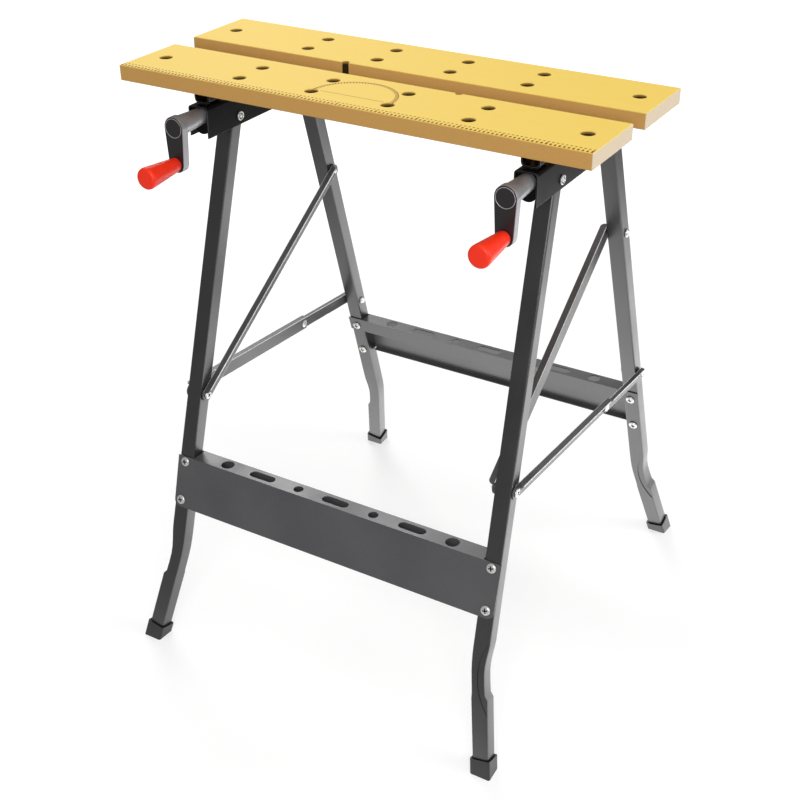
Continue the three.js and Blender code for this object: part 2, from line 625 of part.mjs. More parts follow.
for (const [name, side] of [['left', -1], ['right', 1]]) {
  const footX = legX(stayDrop);
  const upperX = legX(upperStayDrop);
  const lowerX = legX(lowerStayDrop);

  const upperLength = upperAnchor.distanceTo(stayFoot);
  const skew = side * Math.asin((footX - upperX) / upperLength);
  const upper = stayGroup(`${name}_upper_swing`, side * (footX - halfTube), stayFoot, upperAnchor, skew);
  const upperFar = stayStandoff + staySheet;
  const upperBar = angleBar(-side, stayStandoff, upperLength, -halfStay, halfStay,
    { width: stayFlange, from: -stayFlangePast, to: upperLength + stayFlangePast }, halfStay)
    .add(rod('x', stayBossRadius, -side * seat, -side * upperFar, 0, 0))
    .subtract(stayHole(0, 2 * stayFlange))
    .add(formedHead(-side, seat, upperFar + rivetHeadHeight, upperLength));
  add(`${name}_upper_stay`, upperBar, coatFinish, upper);

  const lower = stayGroup(`${name}_lower_swing`, side * (footX + halfTube), stayFoot, lowerAnchor, 0);
  const frontLink = angleBar(side, seat, knuckleY, -halfStay, halfStay,
    { width: stayFlange, from: -stayFlangePast, to: knuckleY + flangePastKnuckle }, halfStay)
    .subtract(stayHole(0, 2 * stayFlange)).subtract(stayHole(knuckleY, 2 * stayFlange));
  add(`${name}_lower_stay_front`, frontLink, coatFinish, lower);

  const rearLength = lowerAnchor.distanceTo(stayFoot) - knuckleY;
  const anchorNear = lowerX - footX + seat;
  const rearLink = angleBar(side, rearLinkNear, rearLength, rearLinkLow, rearLinkHigh,
    { width: stayFlange - rearLinkNear, from: flangePastKnuckle, to: rearLength + rearLinkHigh / 2 },
    rearLinkHigh)
    .subtract(stayHole(0, 2 * stayFlange))
    .add(formedHead(side, anchorNear, rearLinkNear + staySheet + rivetHeadHeight, rearLength));
  const rearPart = new THREE.Group();
  rearPart.position.y = knuckleY;
  lower.add(rearPart);
  add(`${name}_lower_stay_rear`, rearLink, coatFinish, rearPart);

  const rivetFrom = seat - running / 3;
  const rivetTo = rearLinkNear + staySheet + running / 3;
  const rivetEnds = side > 0 ? [rivetFrom, rivetTo, knuckleBackHead, rivetHeadHeight]
    : [-rivetTo, -rivetFrom, rivetHeadHeight, knuckleBackHead];
  const rivet = headed('x', stayBoltRadius, boltHeadRadius, ...rivetEnds, knuckleY, 0);
  add(`${name}_knuckle_rivet`, rivet, zincFinish, lower);

  const boltEnds = [footX - halfTube - upperFar - seat, footX + halfTube + webFar + seat].map(x => side * x);
  const stayBolt = headed('x', stayBoltRadius, boltHeadRadius, Math.min(...boltEnds), Math.max(...boltEnds),
    boltHeadHeight, boltHeadHeight, stayFoot.x, stayFoot.y);
  add(`${name}_stay_bolt`, stayBolt, zincFinish);

  // Rear ends of the stays: the half of each bolt that stays in the leg, plain where the stay slides past it
  const halfBolt = (x, spot, headSide) => {
    const ends = [x - headSide * (halfTube - seat / 3), x + headSide * (halfTube + seat)];
    const heads = headSide > 0 ? [0, boltHeadHeight] : [boltHeadHeight, 0];
    return headed('x', stayBoltRadius, boltHeadRadius, Math.min(...ends), Math.max(...ends),
      ...heads, spot.x, spot.y);
  };
  add(`${name}_upper_stay_anchor`, halfBolt(side * upperX, upperAnchor, side), zincFinish);
  add(`${name}_lower_stay_anchor`, halfBolt(side * lowerX, lowerAnchor, -side), zincFinish);
}

// The origin lies under the middle of the footprint
const footReach = (pivotY, lean) => Math.abs(pivotY) + pivotZ * Math.tan(lean)
  + (halfDepth + running + footWall) / Math.cos(lean);
bench.position.y = (footReach(frontPivotY, frontLean) - footReach(rearPivotY, rearLean)) / 2;

export default bench;
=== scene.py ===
import bpy
import json
import math
from mathutils import Matrix, Vector

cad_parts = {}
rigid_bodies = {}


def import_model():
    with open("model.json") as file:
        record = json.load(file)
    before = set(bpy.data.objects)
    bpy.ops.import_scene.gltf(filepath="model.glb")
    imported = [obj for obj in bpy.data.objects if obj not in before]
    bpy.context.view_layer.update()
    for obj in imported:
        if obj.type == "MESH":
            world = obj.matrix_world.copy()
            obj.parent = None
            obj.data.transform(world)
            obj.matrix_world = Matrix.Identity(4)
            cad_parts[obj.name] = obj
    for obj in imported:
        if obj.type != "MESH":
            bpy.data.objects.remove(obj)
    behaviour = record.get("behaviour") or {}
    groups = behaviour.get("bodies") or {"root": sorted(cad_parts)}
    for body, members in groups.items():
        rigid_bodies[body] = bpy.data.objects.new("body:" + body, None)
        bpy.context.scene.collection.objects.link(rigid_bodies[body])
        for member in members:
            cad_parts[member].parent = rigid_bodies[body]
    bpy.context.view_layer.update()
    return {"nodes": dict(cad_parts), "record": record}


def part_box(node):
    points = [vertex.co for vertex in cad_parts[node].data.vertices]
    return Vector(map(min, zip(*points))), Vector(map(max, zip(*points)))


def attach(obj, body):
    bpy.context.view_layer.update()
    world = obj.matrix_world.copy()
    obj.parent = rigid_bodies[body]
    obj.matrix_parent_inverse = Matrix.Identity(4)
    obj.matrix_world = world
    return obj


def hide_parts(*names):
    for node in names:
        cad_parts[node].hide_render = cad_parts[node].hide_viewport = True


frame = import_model()
nodes = frame["nodes"]
scene = bpy.context.scene
mm = 0.001
bodies = frame["record"]["behaviour"]["bodies"]
bodyOf = {node: body for body, members in bodies.items() for node in members}
slotOf = {part["node"]: part["material_slot"] for part in frame["record"]["subparts"]}
print("frame loaded:", len(nodes), "nodes")


# camera, at the photograph's own viewing angle
cameraSet = {"place": (0.7753, -1.3613, 1.2256), "azimuth": 30.80, "elevation": 30.48, "roll": -0.32,
             "focalPixels": 1329.7, "framePixels": 800, "sensor": 36}


def setCamera(spec):
    around, above, roll = (math.radians(spec[key]) for key in ("azimuth", "elevation", "roll"))
    right = Vector((math.cos(around), math.sin(around), 0))
    back = Vector((math.sin(around) * math.cos(above), -math.cos(around) * math.cos(above), math.sin(above)))
    up = back.cross(right)
    right, up = right * math.cos(roll) + up * math.sin(roll), up * math.cos(roll) - right * math.sin(roll)
    bpy.ops.object.select_all(action="DESELECT")
    bpy.ops.object.camera_add(location=spec["place"])
    camera = bpy.context.object
    turn = Matrix((right, up, back)).transposed().to_4x4()
    camera.matrix_world = Matrix.Translation(spec["place"]) @ turn
    camera.data.sensor_width = spec["sensor"]
    camera.data.lens = spec["sensor"] * spec["focalPixels"] / spec["framePixels"]
    scene.camera = camera


setCamera(cameraSet)
scene.view_settings.view_transform = "Standard"
print("camera set")


# colours are written as sRGB hex and turned to linear here
def linear(code):
    parts = [int(code[i:i + 2], 16) / 255 for i in (1, 3, 5)]
    return tuple(p / 12.92 if p <= 0.04045 else ((p + 0.055) / 1.055) ** 2.4 for p in parts) + (1.0,)


# one node: another node's output is linked, any other value is set; gives back its outputs
def addNode(tree, kind, values={}):
    node = tree.nodes.new("ShaderNode" + kind)
    for name, value in values.items():
        if isinstance(value, bpy.types.NodeSocket):
            tree.links.new(value, node.inputs[name])
        elif isinstance(name, int) or name in node.inputs:
            node.inputs[name].default_value = value
        else:
            setattr(node, name, value)
    return node.outputs


def calc(tree, operation, *values):
    return addNode(tree, "Math", {"operation": operation, **dict(enumerate(values))})[0]


def span(tree, value, source, target=(0.0, 1.0)):
    return addNode(tree, "MapRange", {0: value, 1: source[0], 2: source[1], 3: target[0], 4: target[1]})[0]


def blend(tree, share, first, second):
    return addNode(tree, "Mix", {"data_type": "RGBA", 0: share, 6: first, 7: second})[2]


def blendValue(tree, share, first, second):
    return addNode(tree, "Mix", {"data_type": "FLOAT", 0: share, 2: first, 3: second})[0]


def noise(tree, place, sizeMm, detail, **more):
    values = {"Vector": place, "Scale": 1 / (sizeMm * mm), "Detail": detail, **more}
    return addNode(tree, "TexNoise", values)[0]


# noise with a size of its own along each axis
def drawnNoise(tree, place, sizesMm, detail, **more):
    scale = tuple(1 / (size * mm) for size in sizesMm)
    stretch = addNode(tree, "Mapping", {"Vector": place, "Scale": scale})[0]
    return addNode(tree, "TexNoise", {"Vector": stretch, "Scale": 1.0, "Detail": detail, **more})[0]


def bump(tree, height, strength, depthMm):
    return addNode(tree, "Bump", {"Height": height, "Strength": strength, "Distance": depthMm * mm})[0]


def startFinish(name):
    finish = bpy.data.materials.new(name)
    finish.use_nodes = True
    tree = finish.node_tree
    return finish, tree, tree.nodes["Principled BSDF"]


def endFinish(tree, shader, tint, gloss, relief):
    for name, source in (("Base Color", tint), ("Roughness", gloss), ("Normal", relief)):
        tree.links.new(source, shader.inputs[name])


# Steel tube in a baked powder coat: near black, half gloss, with the low waves of orange peel.
# Real peel is about 1 mm across and is drawn at twice that, or it would not show.
tubeSet = {"colour": "#1C1B1D", "shade": "#151416", "dust": "#39383A", "cloudMm": 70, "peelMm": 2.2,
           "speckMm": 0.9, "peelDepthMm": 0.16, "gloss": (0.29, 0.39), "specular": 1.0, "metal": 0.0}
# Folded steel sheet in the same powder, sprayed thicker: a little greyer and softer than the tube.
sheetSet = {"colour": "#464547", "shade": "#3E3D3F", "dust": "#626163", "cloudMm": 90, "peelMm": 2.6,
            "speckMm": 0.9, "peelDepthMm": 0.16, "gloss": (0.31, 0.43), "specular": 0.8, "metal": 0.0}
# The wide rail webs get a paler copy of the sheet paint, as painted light for the brighter light they catch.
litRailSet = dict(sheetSet, colour="#504F51", shade="#48474A", dust="#6C6B6D")
# Pressed steel in black enamel: deep black, soft sheen, no peel to speak of.
enamelSet = {"colour": "#111113", "shade": "#0D0D0F", "dust": "#1D1D20", "cloudMm": 45, "peelMm": 3.0,
             "speckMm": 0.8, "peelDepthMm": 0.03, "gloss": (0.26, 0.36), "specular": 0.06, "metal": 0.0}
# Cast zinc alloy: bare and sandy grey on the hub and the arm's sides. The arm's front face is coloured near
# black and loses its metal, as painted shade for the dark reflection it shows.
castingSet = {"colour": "#A0A0A4", "shade": "#8C8C90", "dust": "#B8B8BD", "cloudMm": 25, "peelMm": 1.4,
              "speckMm": 0.7, "peelDepthMm": 0.06, "gloss": (0.30, 0.42), "specular": 0.5, "metal": 0.4,
              "face": "#1F1F21"}
# Painted highlight: the broken long edges of the stays are coloured near white, and the bracket edges a grey,
# for the bright line the light draws along them.
stayHighlightSet = {"colour": "#EDEDEF", "shade": "#D2D2D4", "dust": "#F6F6F8", "cloudMm": 30, "peelMm": 1.5,
               "speckMm": 0.8, "peelDepthMm": 0.02, "gloss": (0.30, 0.45), "specular": 0.5, "metal": 0.3}
# painted highlight on the brackets' broken edges: a grey line on the black enamel
bracketHighlightSet = {"colour": "#5C5C5E", "shade": "#3C3C3E", "dust": "#6E6E70", "cloudMm": 20, "peelMm": 1.5,
                  "speckMm": 0.8, "peelDepthMm": 0.02, "gloss": (0.30, 0.45), "specular": 0.5, "metal": 0.2}
# Painted shade in a screw recess and a rivet groove: near black, a little glossy.
recessShadeSet = {"colour": "#141415", "shade": "#0C0C0D", "dust": "#262627", "cloudMm": 3, "peelMm": 1.0,
             "speckMm": 0.7, "peelDepthMm": 0.05, "gloss": (0.35, 0.55), "specular": 0.3, "metal": 0.0}
# what all the paints share: how their noises are drawn, and which way the casting's front face looks, where it
# takes its painted shade
paintNoise = {"cloudDetail": 3.0, "cloudSpan": (0.35, 0.65), "glossSpan": (0.3, 0.7), "speckDetail": 1.0,
              "speckSpan": (0.60, 0.78), "speckShare": (0.0, 0.5), "peelDetail": 2.0, "peelRough": 0.4,
              "peelStrength": 0.5, "shadedFrontSpan": (-0.80, -0.95)}


def paintFinish(name, spec):
    finish, tree, shader = startFinish(name)
    coords = addNode(tree, "TexCoord")
    place = coords["Object"]
    cloud = noise(tree, place, spec["cloudMm"], paintNoise["cloudDetail"])
    speck = noise(tree, place, spec["speckMm"], paintNoise["speckDetail"])
    peel = noise(tree, place, spec["peelMm"], paintNoise["peelDetail"], Roughness=paintNoise["peelRough"])
    patch = span(tree, cloud, paintNoise["cloudSpan"])
    fleck = span(tree, speck, paintNoise["speckSpan"], paintNoise["speckShare"])
    base = blend(tree, patch, linear(spec["shade"]), linear(spec["colour"]))
    tint = blend(tree, fleck, base, linear(spec["dust"]))
    gloss = span(tree, cloud, paintNoise["glossSpan"], spec["gloss"])
    skin = bump(tree, peel, paintNoise["peelStrength"], spec["peelDepthMm"])
    shader.inputs["Specular IOR Level"].default_value = spec["specular"]
    shader.inputs["Metallic"].default_value = spec["metal"]
    # painted shade: the casting's front face turns near black and not metallic
    if "face" in spec:
        facing = addNode(tree, "SeparateXYZ", {0: coords["Normal"]})[1]
        front = span(tree, facing, paintNoise["shadedFrontSpan"])
        metal = span(tree, front, (0.0, 1.0), (spec["metal"], 0.0))
        tint = blend(tree, front, tint, linear(spec["face"]))
        tree.links.new(metal, shader.inputs["Metallic"])
    endFinish(tree, shader, tint, gloss, skin)
    return finish


# Bright zinc plate on turned and pressed steel: grey with a cool and a faint straw cast, fine tool lines.
zincSet = {"colour": "#D6D7DA", "straw": "#D0CABD", "dull": "#97999C", "cloudMm": 5.0, "cloudDetail": 4.0,
           "strawSpan": (0.40, 0.68), "lineMm": 0.5, "lineDetail": 1.0, "dullSpan": (0.58, 0.80),
           "dullShare": (0.0, 0.6), "lineDepthMm": 0.02, "lineStrength": 0.4, "gloss": (0.24, 0.40),
           "glossSpan": (0.3, 0.7), "metal": 0.6}


def zincFinish(name, spec):
    finish, tree, shader = startFinish(name)
    place = addNode(tree, "TexCoord")["Object"]
    cloud = noise(tree, place, spec["cloudMm"], spec["cloudDetail"])
    lines = noise(tree, place, spec["lineMm"], spec["lineDetail"])
    patch = span(tree, cloud, spec["strawSpan"])
    stain = span(tree, lines, spec["dullSpan"], spec["dullShare"])
    base = blend(tree, patch, linear(spec["colour"]), linear(spec["straw"]))
    tint = blend(tree, stain, base, linear(spec["dull"]))
    gloss = span(tree, cloud, spec["glossSpan"], spec["gloss"])
    skin = bump(tree, lines, spec["lineStrength"], spec["lineDepthMm"])
    shader.inputs["Metallic"].default_value = spec["metal"]
    endFinish(tree, shader, tint, gloss, skin)
    return finish


# Injection moulded polypropylene in bright red: glossy, with slow flow marks and a faint mould texture.
gripSet = {"colour": "#FF3416", "deep": "#FF3013", "flowMm": (30, 30, 30), "skinMm": 2.0,
           "skinDepthMm": 0.01, "gloss": (0.38, 0.42), "specular": 0.38}
# Moulded black rubber: a soft shine on the flats, with a fine sandblasted mould skin.
rubberSet = {"colour": "#121213", "deep": "#0C0C0D", "flowMm": (12, 12, 12), "skinMm": 1.0,
             "skinDepthMm": 0.04, "gloss": (0.34, 0.46), "specular": 0.6}
# what both mouldings share
mouldNoise = {"flowDetail": 3.0, "flowTwist": 0.6, "flowSpan": (0.1, 0.9), "skinDetail": 2.0,
              "skinStrength": 0.4}


def mouldFinish(name, spec):
    finish, tree, shader = startFinish(name)
    place = addNode(tree, "TexCoord")["Object"]
    flow = drawnNoise(tree, place, spec["flowMm"], mouldNoise["flowDetail"], Distortion=mouldNoise["flowTwist"])
    skin = noise(tree, place, spec["skinMm"], mouldNoise["skinDetail"])
    patch = span(tree, flow, mouldNoise["flowSpan"])
    tint = blend(tree, patch, linear(spec["deep"]), linear(spec["colour"]))
    gloss = span(tree, flow, mouldNoise["flowSpan"], spec["gloss"])
    grain = bump(tree, skin, mouldNoise["skinStrength"], spec["skinDepthMm"])
    shader.inputs["Specular IOR Level"].default_value = spec["specular"]
    endFinish(tree, shader, tint, gloss, grain)
    return finish


# Fibreboard under a yellow printed foil: even and slightly glossy on top, bare pressed fibre in tan along the
# long edges and below, and paler at the sawn ends. The walls of the holes are tan at the top and go near black
# further down, as painted shade in the holes.
boardSet = {"foil": "#F5D263", "foilPale": "#F7D66D", "edge": "#CC9E5C", "edgeDark": "#C69856",
            "end": "#E7D7BF", "endDark": "#DFCDB0", "bore": "#B88E4C", "boreShade": "#160C04", "ink": "#84500F",
            "boreShadeMm": 4.0, "boreMottle": 0.1, "flatSpan": (0.55, 0.80), "reachMm": 0.95,
            "streakMm": (60, 1.6, 60), "streakDetail": 4.0, "streakSpan": (0.35, 0.70),
            "fibreMm": 1.3, "fibreDetail": 4.0, "fibreRough": 0.6, "fibreSpan": (0.35, 0.65),
            "fibreDepthMm": 0.08, "skinMm": 2.5, "skinDetail": 2.0, "skinDepthMm": 0.02, "strength": 0.6,
            "gloss": (0.52, 0.62), "glossSpan": (0.3, 0.7), "edgeRough": 0.75, "specular": 0.08}
# Printed scale: ticks along the front edge, a broken line behind them, and an angle arc.
# Real 1 mm ticks would blur to nothing, so they are drawn at 5 mm, and the lines are heavier.
scaleSet = {"tickMm": 5.0, "tickHalf": 1.2, "tickFrom": 0.8, "tickTo": 5.4, "longMm": 50.0, "longTo": 7.0,
            "dashLineMm": 9.6, "dashHalf": 1.0, "dashMm": 5.0, "dashFill": 0.5,
            "arcBackMm": 35.0, "arcMm": 51.5, "arcHalf": 0.45,
            "spokeDegrees": 4.0, "spokeFrom": 47.5, "spokeHalf": 0.8, "baseHalf": 0.45, "baseReach": 41.0}


# where the scale has ink; along runs from the board's middle to its ends, back from its front edge
def scaleInk(tree, spec, x, along, back):
    def within(value, limitMm):
        return calc(tree, "LESS_THAN", value, limitMm * mm)

    def beyond(value, limitMm):
        return calc(tree, "GREATER_THAN", value, limitMm * mm)

    def offLine(value, lineMm):
        return calc(tree, "ABSOLUTE", calc(tree, "SUBTRACT", value, lineMm * mm))

    def both(first, second):
        return calc(tree, "MULTIPLY", first, second)

    marks = []
    for pitch, reach in ((spec["tickMm"], spec["tickTo"]), (spec["longMm"], spec["longTo"])):
        near = calc(tree, "PINGPONG", along, pitch * mm / 2)
        band = both(within(back, reach), beyond(back, spec["tickFrom"]))
        marks.append(both(within(near, spec["tickHalf"]), band))
    near = calc(tree, "PINGPONG", along, spec["dashMm"] * mm / 2)
    dash = within(near, spec["dashFill"] * spec["dashMm"] / 2)
    marks.append(both(within(offLine(back, spec["dashLineMm"]), spec["dashHalf"]), dash))
    # the angle arc, its spokes and its base line, about a point behind the middle of the front edge
    rise = calc(tree, "SUBTRACT", back, spec["arcBackMm"] * mm)
    spot = addNode(tree, "CombineXYZ", {0: x, 1: rise})[0]
    radius = addNode(tree, "VectorMath", {"operation": "LENGTH", 0: spot})[1]
    above = beyond(rise, 0.0)
    marks.append(both(within(offLine(radius, spec["arcMm"]), spec["arcHalf"]), above))
    angle = calc(tree, "ARCTAN2", rise, x)
    near = calc(tree, "PINGPONG", angle, math.radians(spec["spokeDegrees"]) / 2)
    spoke = within(calc(tree, "MULTIPLY", near, radius), spec["spokeHalf"])
    band = both(beyond(radius, spec["spokeFrom"]), within(radius, spec["arcMm"]))
    marks.append(both(spoke, both(band, above)))
    marks.append(both(within(offLine(rise, 0.0), spec["baseHalf"]), within(along, spec["baseReach"])))
    ink = marks[0]
    for mark in marks[1:]:
        ink = calc(tree, "MAXIMUM", ink, mark)
    return ink


def boardFinish(name, spec, box, scale=None):
    low, high = box
    middle, half = (low + high) / 2, (high - low) / 2
    finish, tree, shader = startFinish(name)
    coords = addNode(tree, "TexCoord")
    place = coords["Object"]
    x, y, z = addNode(tree, "SeparateXYZ", {0: place})
    up = calc(tree, "ABSOLUTE", addNode(tree, "SeparateXYZ", {0: coords["Normal"]})[2])
    # which face a point is on: flat top or underside, long edge, sawn end, or the wall of a hole
    flat = span(tree, up, spec["flatSpan"])
    along = calc(tree, "ABSOLUTE", x)
    sideways = calc(tree, "ABSOLUTE", calc(tree, "SUBTRACT", y, middle.y))
    onEdge = calc(tree, "GREATER_THAN", sideways, half.y - spec["reachMm"] * mm)
    onEnd = calc(tree, "GREATER_THAN", along, half.x - spec["reachMm"] * mm)
    onTop = calc(tree, "GREATER_THAN", z, middle.z)
    # foil with faint print streaks, bare fibre elsewhere
    streak = drawnNoise(tree, place, spec["streakMm"], spec["streakDetail"])
    fibre = noise(tree, place, spec["fibreMm"], spec["fibreDetail"], Roughness=spec["fibreRough"])
    skin = noise(tree, place, spec["skinMm"], spec["skinDetail"])
    soft = span(tree, streak, spec["streakSpan"])
    mottle = span(tree, fibre, spec["fibreSpan"])
    foil = blend(tree, soft, linear(spec["foil"]), linear(spec["foilPale"]))
    edge = blend(tree, mottle, linear(spec["edgeDark"]), linear(spec["edge"]))
    # the sawn ends are paler than the long edges, partly bare end fibre and partly painted light for the strong
    # light on the right end
    end = blend(tree, mottle, linear(spec["endDark"]), linear(spec["end"]))
    # painted shade down the holes: the wall goes from tan at the rim to near black a few mm down
    deep = span(tree, z, (high.z - spec["boreShadeMm"] * mm, high.z))
    deep = calc(tree, "MULTIPLY_ADD", mottle, spec["boreMottle"], deep)
    bore = blend(tree, deep, linear(spec["boreShade"]), linear(spec["bore"]))
    if scale:
        ink = scaleInk(tree, scale, x, along, calc(tree, "SUBTRACT", y, low.y))
        foil = blend(tree, ink, foil, linear(spec["ink"]))
    # the foil covers the top only, and the underside is bare fibre
    foil = blend(tree, onTop, edge, foil)
    tint = blend(tree, onEdge, bore, edge)
    tint = blend(tree, onEnd, tint, end)
    tint = blend(tree, flat, tint, foil)
    shine = span(tree, streak, spec["glossSpan"], spec["gloss"])
    gloss = blendValue(tree, flat, spec["edgeRough"], shine)
    # both heights are in mm already, so the bump adds no depth of its own
    rough = calc(tree, "MULTIPLY", fibre, spec["fibreDepthMm"])
    smooth = calc(tree, "MULTIPLY", skin, spec["skinDepthMm"])
    relief = bump(tree, blendValue(tree, flat, rough, smooth), spec["strength"], 1)
    shader.inputs["Specular IOR Level"].default_value = spec["specular"]
    endFinish(tree, shader, tint, gloss, relief)
    return finish


finishes = {
    "tube": paintFinish("powderCoatedTube", tubeSet),
    "powder_coat": paintFinish("powderCoatedSheet", sheetSet),
    "rail": paintFinish("powderCoatedRailPaintedLight", litRailSet),
    "black_steel": paintFinish("enamelledPressedSteel", enamelSet),
    "crank_metal": paintFinish("zincCastingPaintedShade", castingSet),
    "zinc": zincFinish("zincPlatedSteel", zincSet),
    "recessShade": paintFinish("recessPaintedShade", recessShadeSet),
    "stayHighlight": paintFinish("paintedHighlightPowderEdge", stayHighlightSet),
    "bracketHighlight": paintFinish("paintedHighlightEnamelEdge", bracketHighlightSet),
    "grip": mouldFinish("mouldedRedPolypropylene", gripSet),
    "rubber_foot": mouldFinish("mouldedBlackRubber", rubberSet),
    "rearBoard": boardFinish("foiledFibreboard", boardSet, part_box("rear_jaw_board")),
    "frontBoard": boardFinish("foiledFibreboardPrinted", boardSet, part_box("front_jaw_board"), scaleSet),
}
print("materials made:", len(finishes))


# limits for merging and smoothing a mesh: lengths in mm, angles in degrees; a broken edge is in its own slot,
# which carries its painted highlight
meshSet = {"merge": 0.008, "speck": 0.001, "flat": 0.4, "sharp": 44, "smooth": 40, "sides": 40,
           "edgeSteps": 2, "highlightSlot": 1}


def selectOnly(piece):
    bpy.ops.object.select_all(action="DESELECT")
    piece.select_set(True)
    bpy.context.view_layer.objects.active = piece


def copyPiece(piece, name):
    selectOnly(piece)
    bpy.ops.object.duplicate(linked=False)
    twin = bpy.context.object
    twin.name = twin.data.name = name
    return twin


def startEdit():
    bpy.ops.object.mode_set(mode="EDIT")
    bpy.ops.mesh.select_all(action="SELECT")


def endEdit():
    bpy.ops.object.mode_set(mode="OBJECT")


# a finished piece takes its material, unless it has its own, and rides with and stands for its CAD nodes
def settle(piece, finish, standsFor):
    if finish:
        piece.data.materials.clear()
        piece.data.materials.append(finish)
    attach(piece, bodyOf[standsFor[0]])
    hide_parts(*standsFor)


# flats stay flat and only the breaks and bends between them shade round
def softenPiece(piece):
    startEdit()
    bpy.ops.mesh.dissolve_degenerate(threshold=meshSet["speck"] * mm)
    endEdit()
    bpy.ops.object.shade_smooth_by_angle(angle=math.radians(meshSet["smooth"]))
    bpy.ops.object.modifier_add(type="WEIGHTED_NORMAL")
    piece.modifiers[-1].keep_sharp = True
    bpy.ops.object.modifier_apply(modifier=piece.modifiers[-1].name)


# a CAD node's shape, merged, with its sharp edges broken as a press or a paint film leaves them
def dressNode(node, finish, edgeMm, highlightFinish=None):
    piece = copyPiece(nodes[node], node + "_skin")
    for key in [k for k in piece.keys() if k.startswith("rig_")]:
        del piece[key]
    bpy.ops.object.parent_clear(type="CLEAR_KEEP_TRANSFORM")
    bpy.ops.mesh.customdata_custom_splitnormals_clear()
    startEdit()
    bpy.ops.mesh.remove_doubles(threshold=meshSet["merge"] * mm)
    bpy.ops.mesh.dissolve_limited(angle_limit=math.radians(meshSet["flat"]))
    endEdit()
    piece.data.materials.clear()
    piece.data.materials.append(finish)
    if edgeMm:
        bpy.ops.object.modifier_add(type="BEVEL")
        bevel = piece.modifiers[-1]
        # the broken edges take the painted highlight finish, when one is given
        if highlightFinish:
            piece.data.materials.append(highlightFinish)
            bevel.material = meshSet["highlightSlot"]
        bevel.width, bevel.segments = edgeMm * mm, meshSet["edgeSteps"]
        bevel.limit_method, bevel.angle_limit = "ANGLE", math.radians(meshSet["sharp"])
        bevel.harden_normals = False
        bpy.ops.object.modifier_apply(modifier=bevel.name)
    softenPiece(piece)
    settle(piece, None, [node])
    return piece


# a stay's long edges, broken wide enough to show a painted highlight line on them; its small corners stay as
# they are
def highlightLongEdges(piece, finish, widthMm, longMm):
    selectOnly(piece)
    piece.data.materials.append(finish)
    bpy.ops.object.mode_set(mode="EDIT")
    bpy.ops.mesh.select_mode(type="EDGE")
    bpy.ops.mesh.select_all(action="DESELECT")
    bpy.ops.mesh.edges_select_sharp(sharpness=math.radians(meshSet["sharp"]))
    endEdit()
    points = piece.data.vertices
    for face in piece.data.polygons:
        face.select = False
    for edge in piece.data.edges:
        first, last = (points[i].co for i in edge.vertices)
        edge.select = edge.select and (first - last).length > longMm * mm
    bpy.ops.object.mode_set(mode="EDIT")
    bpy.ops.mesh.bevel(offset=widthMm * mm, segments=meshSet["edgeSteps"], affect="EDGES", clamp_overlap=False,
                       material=meshSet["highlightSlot"])
    bpy.ops.mesh.select_mode(type="VERT")
    endEdit()
    bpy.ops.mesh.customdata_custom_splitnormals_clear()
    softenPiece(piece)


# edge breaks in mm, by node; a stay's edge is broken where it is longer than stayLong
skinSet = {"boards": 0.5, "bracket": 0.4, "bearing_plate": 0.35, "front_spacer": 0.4, "mid_spacer": 0.4,
           "slide_saddle": 0.35, "screw_nut": 0.5, "leg": 0.0, "rail": 0.3, "stay": 0.85, "stayLong": 25,
           "rivet": 0.3, "crank": 0.3, "grip_pin": 0.2, "foot": 1.2}

dressNode("front_jaw_board", finishes["frontBoard"], skinSet["boards"])
dressNode("rear_jaw_board", finishes["rearBoard"], skinSet["boards"])
for side in ("left", "right"):
    for name in ("bracket", "bearing_plate", "front_spacer", "mid_spacer"):
        dressNode(f"{side}_{name}", finishes["black_steel"], skinSet[name], finishes["bracketHighlight"])
    for name in ("slide_saddle", "screw_nut"):
        dressNode(f"{side}_{name}", finishes[slotOf[f"{side}_{name}"]], skinSet[name])
    for name in ("upper_stay", "lower_stay_front", "lower_stay_rear"):
        stay = dressNode(f"{side}_{name}", finishes["powder_coat"], 0)
        highlightLongEdges(stay, finishes["stayHighlight"], skinSet["stay"], skinSet["stayLong"])
    for end in ("front", "rear"):
        dressNode(f"{end}_{side}_leg", finishes["tube"], skinSet["leg"])
        dressNode(f"{end}_{side}_foot", finishes["rubber_foot"], skinSet["foot"])
for end in ("front", "rear"):
    dressNode(f"{end}_tool_rail", finishes["rail"], skinSet["rail"])
print("frame, boards and legs dressed")


# a turned piece along +Z: a disc is drawn out ring by ring; each ring is (radius, height) in mm
def turnPiece(name, rings, sides=meshSet["sides"], smooth=meshSet["smooth"]):
    bpy.ops.object.select_all(action="DESELECT")
    bpy.ops.mesh.primitive_circle_add(vertices=sides, radius=rings[0][0] * mm, fill_type="NGON",
                                      location=(0, 0, 0))
    piece = bpy.context.object
    piece.name = piece.data.name = name
    startEdit()
    bpy.ops.transform.translate(value=(0, 0, rings[0][1] * mm))
    for (wasRadius, wasHeight), (radius, height) in zip(rings, rings[1:]):
        bpy.ops.mesh.extrude_region_move(TRANSFORM_OT_translate={"value": (0, 0, (height - wasHeight) * mm)})
        grow = radius / wasRadius
        bpy.ops.transform.resize(value=(grow, grow, 1), center_override=(0, 0, height * mm))
    bpy.ops.mesh.select_all(action="SELECT")
    bpy.ops.mesh.remove_doubles(threshold=meshSet["speck"] * mm)
    bpy.ops.mesh.normals_make_consistent(inside=False)
    endEdit()
    bpy.ops.object.shade_smooth_by_angle(angle=math.radians(smooth))
    return piece


